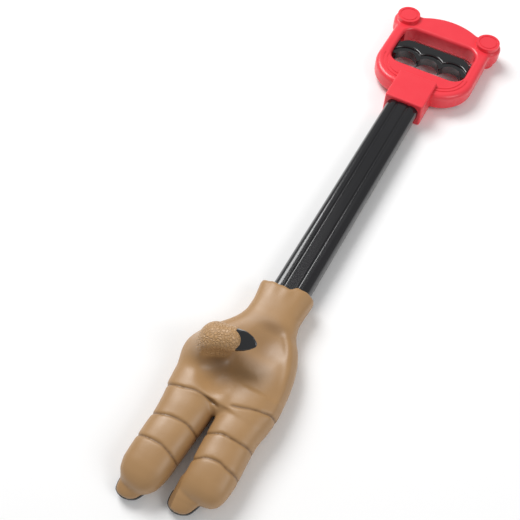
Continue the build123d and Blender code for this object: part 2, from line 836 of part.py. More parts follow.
for name, way in (("left", -1), ("right", 1)):
    x = way * finger_x

    with BuildPart() as finger_core:
        with Locations((way * (barrel_inner_x + barrel_outer_x) / 2, knuckle_y, knuckle_z)):
            Cylinder(barrel_radius, barrel_outer_x - barrel_inner_x, rotation=(0, 90, 0))
        with Locations((x, knuckle_y - tongue_length / 2, core_bottom_z)):
            Box(core_width, tongue_length, core_height, align=(Align.CENTER, Align.CENTER, Align.MIN))
        crank_plate(x, crank_width, knuckle_y, knuckle_z, crank, half_swing, 1)
        with Locations((0, knuckle_y, knuckle_z)):
            Cylinder(axle_radius + running_gap, 200, rotation=(0, 90, 0), mode=Mode.SUBTRACT)
    write(finger_core, f"{name}_finger_core")

    with BuildPart() as claw:
        claw_loft(x + claw_offset, 1.0)
        split(bisect_by=Plane.XY.offset(claw_z), keep=Keep.BOTTOM)
    write(claw, f"{name}_claw")

    with BuildPart() as finger_skin:
        finger_loft(x, finger_sections(0) + [(finger_length, 22.0, 14.0, hand_thickness / 2)], 0.42, Mode.ADD)
        with BuildPart(mode=Mode.PRIVATE) as quick:
            claw_loft(x + claw_offset, 0.9)
            split(bisect_by=Plane.XY.offset(claw_z), keep=Keep.TOP)
        add(quick.part)
        add(claw.part, mode=Mode.SUBTRACT)
        finger_loft(x, finger_sections(skin_wall), 0.34, Mode.SUBTRACT)
        knuckle_bevel(-1)
    write(finger_skin, f"{name}_finger_skin")


# ================================================================== thumb
stem_foot = Vector(thumb_x, thumb_axle_y, thumb_axle_z + thumb_stem_lift)
thumb_knuckle = Vector(thumb_x + thumb_knuckle_step, thumb_axle_y + thumb_knuckle_back, thumb_knuckle_z)
along_stem = Plane(origin=stem_foot, z_dir=(thumb_knuckle - stem_foot).normalized())
stem_run = (thumb_knuckle - stem_foot).length
thumb_tip = thumb_knuckle + Vector(thumb_reach, thumb_lean, thumb_rise)
thumb_way = (thumb_tip - thumb_knuckle).normalized()
thumb_run = (thumb_tip - thumb_knuckle).length
along_thumb = Plane(origin=thumb_knuckle, z_dir=thumb_way)

with BuildPart() as thumb_core:
    with Locations((thumb_x, thumb_axle_y, thumb_axle_z)):
        Cylinder(barrel_radius, thumb_barrel_width, rotation=(0, 90, 0))
    crank_plate(thumb_x, thumb_crank_width, thumb_axle_y, thumb_axle_z, thumb_crank, thumb_half_swing, -1)
    with Locations((thumb_x, thumb_axle_y, thumb_axle_z)):
        Box(
            thumb_barrel_width,
            2 * barrel_radius,
            thumb_stem_lift,
            align=(Align.CENTER, Align.CENTER, Align.MIN),
        )
    with Locations(along_stem):
        Cylinder(thumb_stem_radius, stem_run, align=(Align.CENTER, Align.CENTER, Align.MIN))
    with Locations(thumb_knuckle):
        Sphere(thumb_stem_radius)
    with Locations(along_thumb):
        Cylinder(
            thumb_stem_radius - 1.0,
            thumb_run - thumb_tip_radius / 2,
            align=(Align.CENTER, Align.CENTER, Align.MIN),
        )
    with Locations((0, thumb_axle_y, thumb_axle_z)):
        Cylinder(axle_radius + running_gap, 200, rotation=(0, 90, 0), mode=Mode.SUBTRACT)
write(thumb_core, "thumb_core")

with BuildPart() as thumb_claw:
    for step, radius in ((2.0, 7.4), (10.0, 5.2), (18.0, 1.2)):
        with BuildSketch(along_thumb.offset(thumb_run + step)):
            Circle(radius)
    loft()
write(thumb_claw, "thumb_claw")

with BuildPart() as thumb_skin:
    with BuildSketch(Plane.XY.offset(thumb_axle_z)):
        with Locations((thumb_x, thumb_axle_y)):
            Circle(thumb_radius + 1.5)
    with BuildSketch(Plane.XY.offset(thumb_knuckle_z)):
        with Locations((thumb_knuckle.X, thumb_knuckle.Y)):
            Circle(thumb_radius)
    loft()
    with Locations(thumb_knuckle):
        Sphere(thumb_radius)
    with Locations(along_thumb):
        Cone(
            thumb_radius - 0.2,
            thumb_tip_radius,
            thumb_run,
            align=(Align.CENTER, Align.CENTER, Align.MIN),
        )
    with Locations(thumb_tip):
        Sphere(thumb_tip_radius)
    add(thumb_claw.part, mode=Mode.SUBTRACT)
    with BuildSketch(side(thumb_x - 2 * thumb_radius)):
        with BuildLine():
            Polyline(
                (thumb_axle_y + 20.0, 0.0),
                (thumb_axle_y + 20.0, hand_thickness + thumb_lift),
                (thumb_axle_y, thumb_axle_z + thumb_bevel_z),
                (thumb_axle_y - 20.0, thumb_axle_z + thumb_bevel_z + 20.0 * tan(2 * thumb_half_swing)),
                (thumb_axle_y - 20.0, 0.0),
                close=True,
            )
        make_face()
    extrude(amount=4 * thumb_radius, mode=Mode.SUBTRACT)
    with Locations((thumb_x, thumb_axle_y, thumb_axle_z)):
        Cylinder(
            thumb_stem_radius + thumb_foot_gap,
            thumb_stem_lift,
            align=(Align.CENTER, Align.CENTER, Align.MIN),
            mode=Mode.SUBTRACT,
        )
    with Locations(along_stem.offset(-thumb_stem_lift)):
        Cylinder(
            thumb_stem_radius + fit_gap,
            stem_run + thumb_stem_lift,
            align=(Align.CENTER, Align.CENTER, Align.MIN),
            mode=Mode.SUBTRACT,
        )
    with Locations(thumb_knuckle):
        Sphere(thumb_stem_radius + fit_gap, mode=Mode.SUBTRACT)
    with Locations(along_thumb):
        Cylinder(
            thumb_stem_radius - 1.0 + fit_gap,
            thumb_run - thumb_tip_radius / 2 + fit_gap,
            align=(Align.CENTER, Align.CENTER, Align.MIN),
            mode=Mode.SUBTRACT,
        )
write(thumb_skin, "thumb_skin")


# ================================================================== palm skin with its cuff
def palm_sections(shrink):
    """Place along the hand, left edge, right edge, height and middle height of the palm, less a wall."""
    full = hand_thickness - 2 * shrink
    middle = hand_thickness / 2
    return [
        (tube_end_y, -21.0 + shrink, 21.0 - shrink, 25.0 - 2 * shrink, cuff_middle_z),
        (tube_end_y - 20.0, -29.0 + shrink, 26.0 - shrink, 26.4 - 2 * shrink, middle - 0.6),
        (tube_end_y - 35.0, -43.5 + shrink, 38.0 - shrink, full, middle),
        (tube_end_y - 56.0, -44.0 + shrink, 42.0 - shrink, full, middle),
        (knuckle_y, -2 * finger_x + 2 + shrink, 2 * finger_x - 2 - shrink, full, middle),
    ]


def palm_loft(shrink, roundness, mode):
    """Loft the palm through its sections."""
    profiles = []
    for y, left, right, height, middle in palm_sections(shrink):
        with BuildSketch(across(y, (left + right) / 2, middle)) as profile:
            RectangleRounded(right - left, height, height * roundness)
        profiles.append(profile.sketch)
    loft(profiles, ruled=True, mode=mode)


def cuff_loft(sections):
    """Loft a stretch of the cuff; each section is its place, width and height."""
    profiles = []
    for y, width, height in sections:
        with BuildSketch(across(y, 0.0, cuff_middle_z)) as profile:
            RectangleRounded(width, height, height * 0.42)
        profiles.append(profile.sketch)
    loft(profiles)


with BuildPart() as hollow:
    palm_loft(skin_wall, 0.36, Mode.ADD)
    with Locations((dish_x, dish_y, dish_bottom_z + dish_radius)):
        Sphere(dish_radius + skin_wall, mode=Mode.SUBTRACT)

with BuildPart() as palm_skin:
    palm_loft(0.0, 0.42, Mode.ADD)
    cuff_waist = (tube_end_y + cuff_overlap * 0.55, 40.0, 24.4)
    cuff_loft([(tube_end_y, 42.0, 25.0), cuff_waist])
    cuff_loft([cuff_waist, (tube_end_y + cuff_overlap, 43.0, 25.6)])
    extrude(tube_outline(across(tube_end_y + cuff_overlap), fit_gap), amount=cuff_overlap, mode=Mode.SUBTRACT)
    add(hollow.part, mode=Mode.SUBTRACT)
    with Locations((dish_x, dish_y, dish_bottom_z + dish_radius)):
        Sphere(dish_radius, mode=Mode.SUBTRACT)
    with Locations((thumb_x, thumb_axle_y, thumb_axle_z - 7.0)):
        Cylinder(
            thumb_radius + 3.0,
            hand_thickness,
            align=(Align.CENTER, Align.CENTER, Align.MIN),
            mode=Mode.SUBTRACT,
        )
    knuckle_bevel(1)
write(palm_skin, "palm_skin")
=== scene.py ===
import logging
import math
from dataclasses import dataclass, field
from enum import Enum
from typing import Any, Iterable, Sequence

import bpy
import numpy as np
from mathutils import Matrix, Vector


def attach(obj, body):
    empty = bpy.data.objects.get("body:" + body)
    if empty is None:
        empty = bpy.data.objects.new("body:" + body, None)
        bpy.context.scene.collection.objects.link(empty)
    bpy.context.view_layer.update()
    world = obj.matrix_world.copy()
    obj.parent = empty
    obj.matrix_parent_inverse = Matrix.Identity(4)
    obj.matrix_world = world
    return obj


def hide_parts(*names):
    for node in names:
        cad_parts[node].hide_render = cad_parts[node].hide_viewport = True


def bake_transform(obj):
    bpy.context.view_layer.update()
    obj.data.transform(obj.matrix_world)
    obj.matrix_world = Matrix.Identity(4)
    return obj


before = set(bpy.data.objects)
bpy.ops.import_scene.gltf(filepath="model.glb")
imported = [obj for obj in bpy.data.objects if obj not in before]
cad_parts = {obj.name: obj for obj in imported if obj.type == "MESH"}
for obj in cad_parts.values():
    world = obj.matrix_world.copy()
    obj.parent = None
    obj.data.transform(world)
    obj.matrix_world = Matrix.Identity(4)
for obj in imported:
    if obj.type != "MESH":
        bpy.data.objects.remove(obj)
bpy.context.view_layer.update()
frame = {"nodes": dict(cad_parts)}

log = logging.getLogger("grabber")
MM = 0.001
NOISE_LOW, NOISE_HIGH = 0.3, 0.7  # the band that most of a noise texture's values lie in
Array = np.ndarray
Colour = tuple[float, float, float, float]


# ---------------------------------------------------------------- colour and node helpers
def linear(srgb: str) -> Colour:
    """Turn an sRGB hex value to a linear colour.

    Args:
        srgb: six hex digits after a hash sign.

    Returns:
        Red, green, blue and an alpha of one.
    """
    parts = [int(srgb[i:i + 2], 16) / 255 for i in (1, 3, 5)]
    red, green, blue = (c / 12.92 if c <= 0.04045 else ((c + 0.055) / 1.055) ** 2.4 for c in parts)
    return red, green, blue, 1.0


def add(tree: bpy.types.NodeTree, kind: str, **settings: Any) -> bpy.types.Node:
    """Add a node, set its properties and sockets, and link what feeds it.

    Args:
        tree: the node tree that gets the node.
        kind: the node's type, such as ShaderNodeTexNoise.
        settings: a property's or an input socket's value; an output socket as the value is linked.
            A name that starts with in_ and a number is the input of that place.

    Returns:
        The new node.
    """
    node = tree.nodes.new(kind)
    for name, value in settings.items():
        if hasattr(type(node), name) or name in node.bl_rna.properties:
            setattr(node, name, value)
            continue
        key = int(name[3:]) if name.startswith("in_") else name.replace("_", " ")
        socket = node.inputs[key]
        if isinstance(value, bpy.types.NodeSocket):
            tree.links.new(value, socket)
        else:
            socket.default_value = value
    return node


def per_mm(size: float) -> float:
    """Texture scale that makes one cell of a pattern this many millimetres, on coordinates in metres."""
    return 1.0 / (size * MM)


class Place(Enum):
    """Where a finish reads its pattern's place from."""

    OBJECT = "object"          # a rigid piece: the place in the frame
    RESTING = "resting_place"  # a bending piece: the place at rest, kept on each point


@dataclass(frozen=True)
class Finish:
    """What every finish has: its name, its main colour and how rough it is."""

    name: str
    colour: str
    roughness: float

    def start(self) -> tuple[bpy.types.Material, bpy.types.NodeTree, bpy.types.Node]:
        """Make the material with its principled shader.

        Returns:
            The material, its tree and the shader.
        """
        material = bpy.data.materials.new(self.name)
        material.use_nodes = True
        tree = material.node_tree
        return material, tree, tree.nodes["Principled BSDF"]

    def place(self, tree: bpy.types.NodeTree, where: Place) -> bpy.types.NodeSocket:
        """Add the node that gives the pattern's place.

        Args:
            tree: the material's tree.
            where: the kind of place.

        Returns:
            The socket with the place in metres.
        """
        if where is Place.OBJECT:
            return add(tree, "ShaderNodeTexCoord").outputs["Object"]
        return add(tree, "ShaderNodeAttribute", attribute_name=where.value).outputs["Vector"]


@dataclass(frozen=True)
class MouldedPlastic(Finish):
    """Injection-moulded or extruded plastic: even colour, faint grain, a soft film of handling marks."""

    shade: str
    spread: float
    grain_mm: float
    grain_depth_mm: float
    coat: float
    drawn: float = 1.0         # how far the marks are stretched along the piece
    cloud_mm: float = 22.0
    smudge_mm: float = 9.0
    grain_strength: float = 0.6
    coat_roughness: float = 0.12
    ior: float = 1.52

    def build(self) -> bpy.types.Material:
        """Build the material.

        Returns:
            The finished material.
        """
        material, tree, shader = self.start()
        place = self.place(tree, Place.OBJECT)
        along = add(tree, "ShaderNodeMapping", Vector=place, Scale=(1.0, 1.0 / self.drawn, 1.0))
        cloud = add(
            tree, "ShaderNodeTexNoise", Vector=along.outputs[0], Scale=per_mm(self.cloud_mm), Detail=4.0,
        )
        tone = add(
            tree, "ShaderNodeMix", data_type="RGBA", in_0=cloud.outputs["Fac"],
            in_6=linear(self.colour), in_7=linear(self.shade),
        )
        smudge = add(
            tree, "ShaderNodeTexNoise", Vector=along.outputs[0], Scale=per_mm(self.smudge_mm), Detail=6.0,
        )
        gloss = add(
            tree, "ShaderNodeMapRange", Value=smudge.outputs["Fac"], From_Min=NOISE_LOW, From_Max=NOISE_HIGH,
            To_Min=self.roughness - self.spread, To_Max=self.roughness + self.spread,
        )
        grain = add(
            tree, "ShaderNodeTexNoise", Vector=place, Scale=per_mm(self.grain_mm), Detail=2.0,
        )
        bump = add(
            tree, "ShaderNodeBump", Height=grain.outputs["Fac"], Strength=self.grain_strength,
            Distance=self.grain_depth_mm * MM,
        )
        tree.links.new(tone.outputs[2], shader.inputs["Base Color"])
        tree.links.new(gloss.outputs[0], shader.inputs["Roughness"])
        tree.links.new(bump.outputs[0], shader.inputs["Normal"])
        shader.inputs["IOR"].default_value = self.ior
        shader.inputs["Coat Weight"].default_value = self.coat
        shader.inputs["Coat Roughness"].default_value = self.coat_roughness
        return material


@dataclass(frozen=True)
class SoftVinyl(Finish):
    """Slush-moulded soft vinyl: satin skin, painted shade in the hollows and under the thumb, pebbled scales,
    painted shade in the creases.
    """

    light: str
    # The colour of the painted shade in the palm's hollows and under the thumb.
    painted_shade: str
    # The colour of the painted shade in the creases and in the seams between scales.
    crease: str
    scale_tone: str
    pebble_mm: float
    pore_mm: float
    cloud_mm: float = 26.0
    smudge_mm: float = 11.0
    scale_tint: float = 0.6       # how far the scales take their own tone
    # The seams between scales take painted shade in the crease's colour.
    seam_shade_share: float = 0.26       # how far the seams between scales take the crease's tone
    seam_width: float = 0.12      # in shares of a scale
    dome_width: float = 0.3       # in shares of a scale
    scale_height_mm: float = 0.55
    pore_depth_mm: float = 0.12
    coat: float = 0.12
    coat_roughness: float = 0.35
    ior: float = 1.53

    def build(self) -> bpy.types.Material:
        """Build the material from the masks kept on the glove's points.

        Returns:
            The finished material.
        """
        material, tree, shader = self.start()
        place = self.place(tree, Place.RESTING)
        cloud = add(tree, "ShaderNodeTexNoise", Vector=place, Scale=per_mm(self.cloud_mm), Detail=5.0)
        skin = add(
            tree, "ShaderNodeMix", data_type="RGBA", in_0=cloud.outputs["Fac"],
            in_6=linear(self.colour), in_7=linear(self.light),
        )
        # The hollow mask lays painted shade in the palm's hollows, under the thumb and in the gap between the
        # fingers.
        hollow = add(tree, "ShaderNodeAttribute", attribute_name="hollow")
        painted_shade = add(
            tree, "ShaderNodeMix", data_type="RGBA", in_0=hollow.outputs["Fac"],
            in_6=skin.outputs[2], in_7=linear(self.painted_shade),
        )
        # The crease mask lays painted shade along the creases.
        crease = add(tree, "ShaderNodeAttribute", attribute_name="crease")
        lined = add(
            tree, "ShaderNodeMix", data_type="RGBA", in_0=crease.outputs["Fac"],
            in_6=painted_shade.outputs[2], in_7=linear(self.crease),
        )
        scaly = add(tree, "ShaderNodeAttribute", attribute_name="scaly")
        pale_share = add(
            tree, "ShaderNodeMath", operation="MULTIPLY", in_0=scaly.outputs["Fac"], in_1=self.scale_tint,
        )
        pebbles = add(
            tree, "ShaderNodeTexVoronoi", feature="DISTANCE_TO_EDGE", Vector=place,
            Scale=per_mm(self.pebble_mm),
        )
        # Painted shade in the seams between the scales.
        seams = add(
            tree, "ShaderNodeMapRange", Value=pebbles.outputs["Distance"], From_Max=self.seam_width,
            To_Min=1.0, To_Max=0.0,
        )
        seam_mask = add(
            tree, "ShaderNodeMath", operation="MULTIPLY", in_0=seams.outputs[0], in_1=scaly.outputs["Fac"],
        )
        seam_share = add(
            tree, "ShaderNodeMath", operation="MULTIPLY", in_0=seam_mask.outputs[0], in_1=self.seam_shade_share,
        )
        paled = add(
            tree, "ShaderNodeMix", data_type="RGBA", in_0=pale_share.outputs[0],
            in_6=lined.outputs[2], in_7=linear(self.scale_tone),
        )
        seamed = add(
            tree, "ShaderNodeMix", data_type="RGBA", in_0=seam_share.outputs[0],
            in_6=paled.outputs[2], in_7=linear(self.crease),
        )
        dome = add(
            tree, "ShaderNodeMapRange", Value=pebbles.outputs["Distance"], From_Max=self.dome_width,
            To_Min=0.0, To_Max=1.0, interpolation_type="SMOOTHSTEP",
        )
        pebbled = add(
            tree, "ShaderNodeMath", operation="MULTIPLY", in_0=dome.outputs[0], in_1=scaly.outputs["Fac"],
        )
        scale_bump = add(
            tree, "ShaderNodeBump", Height=pebbled.outputs[0], Strength=0.9,
            Distance=self.scale_height_mm * MM,
        )
        pores = add(tree, "ShaderNodeTexNoise", Vector=place, Scale=per_mm(self.pore_mm), Detail=3.0)
        bump = add(
            tree, "ShaderNodeBump", Height=pores.outputs["Fac"], Strength=0.5,
            Distance=self.pore_depth_mm * MM, Normal=scale_bump.outputs[0],
        )
        smudge = add(tree, "ShaderNodeTexNoise", Vector=place, Scale=per_mm(self.smudge_mm), Detail=4.0)
        gloss = add(
            tree, "ShaderNodeMapRange", Value=smudge.outputs["Fac"], From_Min=NOISE_LOW, From_Max=NOISE_HIGH,
            To_Min=self.roughness - 0.05, To_Max=self.roughness + 0.07,
        )
        tree.links.new(seamed.outputs[2], shader.inputs["Base Color"])
        tree.links.new(gloss.outputs[0], shader.inputs["Roughness"])
        tree.links.new(bump.outputs[0], shader.inputs["Normal"])
        shader.inputs["IOR"].default_value = self.ior
        shader.inputs["Coat Weight"].default_value = self.coat
        shader.inputs["Coat Roughness"].default_value = self.coat_roughness
        return material


@dataclass(frozen=True)
class PlatedSteel(Finish):
    """Steel, zinc plated or drawn: fine lines from the tool and patches of a duller film."""

    film: str
    line_mm: float
    patch_mm: float = 3.0
    drawn: float = 20.0
    line_depth_mm: float = 0.05

    def build(self) -> bpy.types.Material:
        """Build the material.

        Returns:
            The finished material.
        """
        material, tree, shader = self.start()
        place = self.place(tree, Place.OBJECT)
        patches = add(tree, "ShaderNodeTexNoise", Vector=place, Scale=per_mm(self.patch_mm), Detail=4.0)
        tone = add(
            tree, "ShaderNodeMix", data_type="RGBA", in_0=patches.outputs["Fac"],
            in_6=linear(self.colour), in_7=linear(self.film),
        )
        drawn = add(tree, "ShaderNodeMapping", Vector=place, Scale=(1.0, 1.0 / self.drawn, 1.0))
        lines = add(
            tree, "ShaderNodeTexNoise", Vector=drawn.outputs[0], Scale=per_mm(self.line_mm), Detail=3.0,
        )
        gloss = add(
            tree, "ShaderNodeMapRange", Value=lines.outputs["Fac"],
            To_Min=self.roughness - 0.1, To_Max=self.roughness + 0.15,
        )
        bump = add(
            tree, "ShaderNodeBump", Height=lines.outputs["Fac"], Strength=0.4,
            Distance=self.line_depth_mm * MM,
        )
        tree.links.new(tone.outputs[2], shader.inputs["Base Color"])
        tree.links.new(gloss.outputs[0], shader.inputs["Roughness"])
        tree.links.new(bump.outputs[0], shader.inputs["Normal"])
        shader.inputs["Metallic"].default_value = 1.0
        return material


# Impact-grade ABS, injection moulded in a satin mould: bright, even red with soft-edged highlights.
RED_ABS = MouldedPlastic(
    name="red_abs_moulded", colour="#F03C48", roughness=0.34, shade="#E83441", spread=0.05,
    grain_mm=0.9, grain_depth_mm=0.05, coat=0.15,
)
# ABS moulded in a polished mould: near black, with small crisp highlights on its edges.
BLACK_ABS = MouldedPlastic(
    name="black_abs_polished", colour="#101012", roughness=0.16, shade="#18181B", spread=0.05,
    grain_mm=1.6, grain_depth_mm=0.02, coat=0.5,
)
# Styrene tube, extruded: glossy black, with faint die lines that stretch the highlights along it.
TUBE_STYRENE = MouldedPlastic(
    name="black_styrene_extruded", colour="#0E0E11", roughness=0.2, shade="#17171B", spread=0.06,
    grain_mm=1.2, grain_depth_mm=0.02, coat=0.4, drawn=14.0,
)
# Nylon 6, injection moulded: milky off-white, dull, a little waxy.
WHITE_NYLON = MouldedPlastic(
    name="white_nylon_moulded", colour="#D8D4C8", roughness=0.5, shade="#CBC6B8", spread=0.06,
    grain_mm=0.8, grain_depth_mm=0.05, coat=0.0,
)
# Soft PVC, slush moulded: tan skin with a satin sheen, umber painted shade in its hollows, under its thumb
# and in its creases.
BROWN_VINYL = SoftVinyl(
    name="brown_vinyl_slush_moulded", colour="#A17B50", roughness=0.42, light="#AF895D",
    painted_shade="#5E4226", crease="#624526", scale_tone="#C49B6B", pebble_mm=2.4, pore_mm=1.3,
)
# Lacquer sprayed on hard vinyl: wet-looking black with a soft roll of light.
BLACK_LACQUER = MouldedPlastic(
    name="black_lacquer_sprayed", colour="#0C0D10", roughness=0.14, shade="#1A1C20", spread=0.05,
    grain_mm=2.4, grain_depth_mm=0.08, coat=0.8,
)
# Mild steel, zinc plated and passivated: cool grey with a faint mottle.
ZINC_STEEL = PlatedSteel(
    name="steel_zinc_plated", colour="#B4B8BE", roughness=0.32, film="#9BA0A8", line_mm=0.3,
)
# Spring steel wire, drawn: bright grey with lines along the wire.
DRAWN_STEEL = PlatedSteel(
    name="steel_wire_drawn", colour="#A9ADB3", roughness=0.26, film="#8E9299", line_mm=0.2,
)


# ---------------------------------------------------------------- shaping by distance fields
@dataclass(frozen=True)
class Section:
    """One cross-section of a body that runs along Y: its place, its two sides, and its height."""

    y: float
    left: float
    right: float
    middle: float
    half: float


def eased(at: Array, places: Sequence[float], values: Sequence[float]) -> Array:
    """Draw a smooth curve through values at rising places, without overshoot.

    Args:
        at: where the curve is read.
        places: the rising places.
        values: the value at each place.

    Returns:
        The curve's value at each point of at.
    """
    x = np.asarray(places, float)
    v = np.asarray(values, float)
    slope = np.diff(v) / np.diff(x)
    tangent = np.zeros_like(v)
    same = slope[1:] * slope[:-1] > 0
    inner = np.where(same, 2 * slope[1:] * slope[:-1] / np.where(same, slope[1:] + slope[:-1], 1.0), 0.0)
    tangent[1:-1] = inner
    tangent[0], tangent[-1] = slope[0], slope[-1]
    q = np.clip(at, x[0], x[-1])
    i = np.clip(np.searchsorted(x, q) - 1, 0, len(x) - 2)
    h = x[i + 1] - x[i]
    t = (q - x[i]) / h
    return (
        (2 * t**3 - 3 * t**2 + 1) * v[i] + (t**3 - 2 * t**2 + t) * h * tangent[i]
        + (3 * t**2 - 2 * t**3) * v[i + 1] + (t**3 - t**2) * h * tangent[i + 1]
    )


def ramp(value: Array, low: float, high: float) -> Array:
    """A smooth step from nought at low to one at high."""
    t = np.clip((value - low) / (high - low), 0.0, 1.0)
    return t * t * (3 - 2 * t)


def joined(a: Array, b: Array, width: float) -> Array:
    """The two bodies as one, with a fillet about that wide where they meet."""
    h = np.clip(0.5 + 0.5 * (b - a) / width, 0.0, 1.0)
    return b * (1 - h) + a * h - width * h * (1 - h)


def carved(a: Array, b: Array, width: float) -> Array:
    """Body a less body b, with an edge rounded about that wide."""
    return -joined(-a, b, width)


@dataclass
class Block:
    """A block of space in millimetres, divided in cells, on which bodies are given as distances."""

    low: tuple[float, float, float]
    high: tuple[float, float, float]
    step: float

    def __post_init__(self) -> None:
        """Lay out the places of the cells' corners."""
        axes = [np.arange(a, b, self.step, dtype=np.float32) for a, b in zip(self.low, self.high)]
        self.x = axes[0][:, None, None]
        self.y = axes[1][None, :, None]
        self.z = axes[2][None, None, :]

    def along(self, sections: Iterable[Section], power: float) -> Array:
        """Distance to a body with rounded cross-sections along Y.

        Args:
            sections: its cross-sections, in rising order of y.
            power: how square they are; 2 is an ellipse.

        Returns:
            The distance at each corner, negative inside.
        """
        rows = list(sections)
        ys = [s.y for s in rows]
        left, right, middle, half = (
            eased(self.y, ys, values)
            for values in zip(*((s.left, s.right, s.middle, s.half) for s in rows))
        )
        wide = np.maximum((right - left) / 2, 0.05)
        tall = np.maximum(half, 0.05)
        u = np.abs(self.x - (left + right) / 2) / wide + 1e-4
        v = np.abs(self.z - middle) / tall + 1e-4
        level = (u**power + v**power) ** (1 / power)
        lean = level ** (1 - power) * np.hypot(u ** (power - 1) / wide, v ** (power - 1) / tall)
        beyond = np.maximum(ys[0] - self.y, self.y - ys[-1])
        return np.maximum((level - 1) / lean, beyond).astype(np.float32)

    def taper(self, start: Sequence[float], end: Sequence[float], radii: tuple[float, float]) -> Array:
        """Distance to a round limb that tapers from one ball to another.

        Args:
            start: the middle of the first ball.
            end: the middle of the last ball.
            radii: the two balls' radii.

        Returns:
            The distance at each corner.
        """
        a = np.asarray(start, float)
        run = np.asarray(end, float) - a
        off = [self.x - a[0], self.y - a[1], self.z - a[2]]
        t = np.clip(sum(o * r for o, r in zip(off, run)) / (run @ run), 0.0, 1.0)
        gap = np.sqrt(sum((o - t * r) ** 2 for o, r in zip(off, run)))
        return (gap - (radii[0] + (radii[1] - radii[0]) * t)).astype(np.float32)

    def ball(self, middle: Sequence[float], radius: float) -> Array:
        """Distance to a ball."""
        return np.sqrt(
            (self.x - middle[0]) ** 2 + (self.y - middle[1]) ** 2 + (self.z - middle[2]) ** 2
        ) - radius

    def skin(self, body: Array) -> tuple[Array, Array]:
        """Turn a body to a mesh of quads, with one point in each cell that its surface crosses.

        Args:
            body: the distance at each corner.

        Returns:
            The points in millimetres, and the four points of each quad.
        """
        inside = body < 0
        cells = tuple(n - 1 for n in body.shape)
        total = np.zeros(cells + (3,), np.float32)
        count = np.zeros(cells, np.float32)
        for axis in range(3):
            others = [k for k in range(3) if k != axis]
            for a in (0, 1):
                for b in (0, 1):
                    shift = [0, 0, 0]
                    shift[others[0]], shift[others[1]] = a, b
                    near = tuple(slice(shift[k], shift[k] + cells[k]) for k in range(3))
                    far = tuple(
                        slice(shift[k] + (k == axis), shift[k] + (k == axis) + cells[k]) for k in range(3)
                    )
                    crossed = inside[near] != inside[far]
                    d0, d1 = body[near][crossed], body[far][crossed]
                    spot = np.zeros((len(d0), 3), np.float32)
                    spot[:, others[0]], spot[:, others[1]] = a, b
                    spot[:, axis] = d0 / (d0 - d1)
                    total[crossed] += spot
                    count[crossed] += 1
        used = count > 0
        index = np.full(cells, -1, np.int64)
        index[used] = np.arange(int(used.sum()))
        corner = np.argwhere(used).astype(np.float32)
        points = (corner + total[used] / count[used][:, None]) * self.step + np.asarray(self.low, np.float32)
        quads = []
        for axis in range(3):
            p, q = (axis + 1) % 3, (axis + 2) % 3
            near = [slice(1, n) for n in cells]
            near[axis] = slice(0, cells[axis])
            far = list(near)
            far[axis] = slice(1, cells[axis] + 1)
            a, b = inside[tuple(near)], inside[tuple(far)]
            base = np.argwhere(a != b) + np.array([0 if k == axis else 1 for k in range(3)])
            ring = []
            for dp, dq in ((-1, -1), (0, -1), (0, 0), (-1, 0)):
                cell = base.copy()
                cell[:, p] += dp
                cell[:, q] += dq
                ring.append(index[cell[:, 0], cell[:, 1], cell[:, 2]])
            quad = np.stack(ring, 1)
            flip = b[a != b]
            quad[flip] = quad[flip][:, ::-1]
            quads.append(quad)
        return points, np.concatenate(quads)


def relaxed(points: Array, quads: Array, rounds: int, share: float) -> Array:
    """Ease each point towards the middle of its neighbours.

    Args:
        points: the mesh's points.
        quads: its faces.
        rounds: how often.
        share: how far, from nought to one.

    Returns:
        The moved points.
    """
    edges = np.concatenate([quads[:, [0, 1]], quads[:, [1, 2]], quads[:, [2, 3]], quads[:, [3, 0]]])
    count = np.bincount(edges[:, 0], minlength=len(points)) + np.bincount(edges[:, 1], minlength=len(points))
    for _ in range(rounds):
        total = np.stack(
            [
                np.bincount(edges[:, 0], points[edges[:, 1], k], len(points))
                + np.bincount(edges[:, 1], points[edges[:, 0], k], len(points))
                for k in range(3)
            ],
            1,
        )
        points = points + share * (total / count[:, None] - points)
    return points


def point_normals(points: Array, quads: Array) -> Array:
    """The outward direction at each point of a mesh."""
    across = np.cross(points[quads[:, 2]] - points[quads[:, 0]], points[quads[:, 3]] - points[quads[:, 1]])
    total = np.zeros_like(points)
    for k in range(4):
        for axis in range(3):
            total[:, axis] += np.bincount(quads[:, k], across[:, axis], len(points))
    return total / np.maximum(np.linalg.norm(total, axis=1), 1e-9)[:, None]


def make_object(
    name: str, points: Array, quads: Array, normals: Array, masks: dict[str, Array],
    finish: bpy.types.Material,
) -> bpy.types.Object:
    """Make an object of some quads of a mesh, with the whole mesh's normals.

    Args:
        name: the piece's name.
        points: the whole mesh's points, in millimetres.
        quads: the piece's faces.
        normals: the whole mesh's normals.
        masks: shares kept on the points, by name.
        finish: the piece's material.

    Returns:
        The object, in the scene.
    """
    used, faces = np.unique(quads, return_inverse=True)
    faces = faces.reshape(quads.shape)
    mesh = bpy.data.meshes.new(name)
    mesh.from_pydata((points[used] * MM).tolist(), [], faces.tolist())
    mesh.materials.append(finish)
    mesh.shade_smooth()
    place = mesh.attributes.new(Place.RESTING.value, "FLOAT_VECTOR", "POINT")
    place.data.foreach_set("vector", (points[used] * MM).astype(np.float32).ravel())
    for key, share in masks.items():
        mask = mesh.attributes.new(key, "FLOAT", "POINT")
        mask.data.foreach_set("value", share[used].astype(np.float32))
    mesh.normals_split_custom_set_from_vertices(normals[used].tolist())
    piece = bpy.data.objects.new(name, mesh)
    bpy.context.scene.collection.objects.link(piece)
    return piece


# ---------------------------------------------------------------- the glove
@dataclass(frozen=True)
class Crease:
    """A moulded crease across a finger: its line over the finger, and how wide it is."""

    xs: tuple[float, ...]
    ys: tuple[float, ...]
    half_width: float = 0.8


@dataclass(frozen=True)
class PaintedShadow:
    """A patch of painted shadow on the palm: its place, its half sizes and its strength."""

    x: float
    y: float
    wide: float
    long: float
    strength: float


